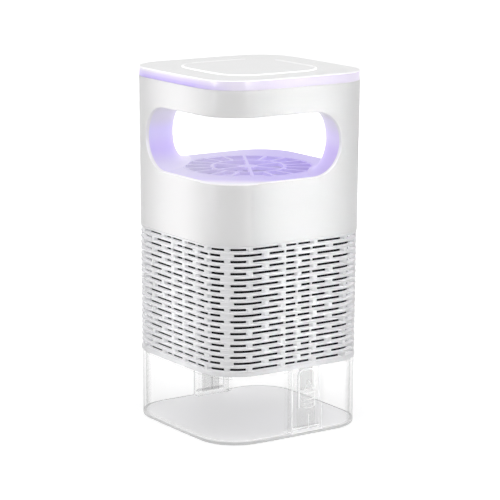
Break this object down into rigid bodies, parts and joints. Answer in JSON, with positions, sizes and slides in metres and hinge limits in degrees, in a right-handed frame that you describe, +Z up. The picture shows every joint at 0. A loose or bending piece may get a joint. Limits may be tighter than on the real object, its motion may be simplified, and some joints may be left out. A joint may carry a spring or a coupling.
{
  "type": "electric insect trap",
  "caption": "Square column with rounded corners: lit rim and top, open window over an air inlet with a fan, slotted shell and a clear catch tray with press tongues",
  "frame": {"origin": "middle of the tray's underside, on the table", "axes": "+Z up along the column; -Y is the front face with a press tongue, +Y the rear face with the power socket and button"},
  "size_m": [0.12, 0.12, 0.2358],
  "materials": {
    "white_shell": "satin moulded plastic",
    "lit_deck": "satin moulded plastic, washed with violet light",
    "lens": "clear plastic",
    "diffuser": "milky translucent plastic, lit violet from inside",
    "cover_white": "fine satin",
    "led": "clear lens, lit violet",
    "board_white": "white solder mask",
    "board_green": "green solder mask",
    "fan_plastic": "dark moulded plastic",
    "iron": "laminated core",
    "copper": "enamelled winding",
    "bronze": "sintered",
    "ferrite": "dark ferrite",
    "steel": "bright",
    "lead_rubber": "matte",
    "black_plastic": "matte",
    "button_plastic": "satin",
    "mesh_black": "woven mesh",
    "clear_tray": "clear moulded plastic",
    "clear_tongue": "clear moulded plastic"
  },
  "bodies": {
    "tray": {"catch_tray": "clear_tray"},
    "housing": {"upper_housing": "white_shell", "inlet_deck": "lit_deck", "inlet_collar": "lit_deck", "inlet_grille": "lit_deck", "grille_ribs": "lit_deck", "grille_star": "lit_deck", "pillar_liner_left": "lit_deck", "pillar_liner_right": "lit_deck", "lamp_plate": "white_shell", "lamp_window": "lens", "lamp_board": "board_white", "uv_leds": "led", "ring_led_board": "board_white", "ring_leds": "led", "light_ring": "diffuser", "top_cover": "cover_white", "top_inlay": "cover_white", "cover_screws": "steel", "lamp_lead": "lead_rubber", "fan_lead": "lead_rubber", "fan_frame": "fan_plastic", "fan_board": "board_green", "stator_core": "iron", "stator_coils": "copper", "fan_bearing": "bronze", "fan_screws": "steel", "control_board": "board_green", "power_socket": "black_plastic", "button_switch": "black_plastic", "housing_screws": "steel", "grille_shell": "white_shell", "screen_sleeve": "mesh_black"},
    "fan": {"fan_impeller": "fan_plastic", "fan_shaft": "steel", "magnet_ring": "ferrite", "shaft_clip": "steel"},
    "button": {"power_button": "button_plastic"},
    "front_tongue": {"latch_tongue_front": "clear_tongue"},
    "rear_tongue": {"latch_tongue_rear": "clear_tongue"}
  },
  "joints": [
    {"name": "head_lift", "type": "slide", "parent": "tray", "child": "housing", "axis": [0, 0, 1], "range_m": [0, 0.06]},
    {"name": "fan_spin", "type": "hinge", "parent": "housing", "child": "fan", "pos_m": [0, 0, 0.15], "axis": [0, 0, 1], "continuous": true},
    {"name": "button_press", "type": "slide", "parent": "housing", "child": "button", "axis": [0, -1, 0], "range_m": [0, 0.001], "stiffness_N_per_m": 1500},
    {"name": "front_tongue_press", "type": "hinge", "parent": "tray", "child": "front_tongue", "pos_m": [0.007, -0.057, 0.0055], "axis": [-1, 0, 0], "range_deg": [0, 2.5], "stiffness_Nm_per_rad": 2.5},
    {"name": "rear_tongue_press", "type": "hinge", "parent": "tray", "child": "rear_tongue", "pos_m": [0.007, 0.057, 0.0055], "axis": [1, 0, 0], "range_deg": [0, 2.5], "stiffness_Nm_per_rad": 2.5}
  ]
}
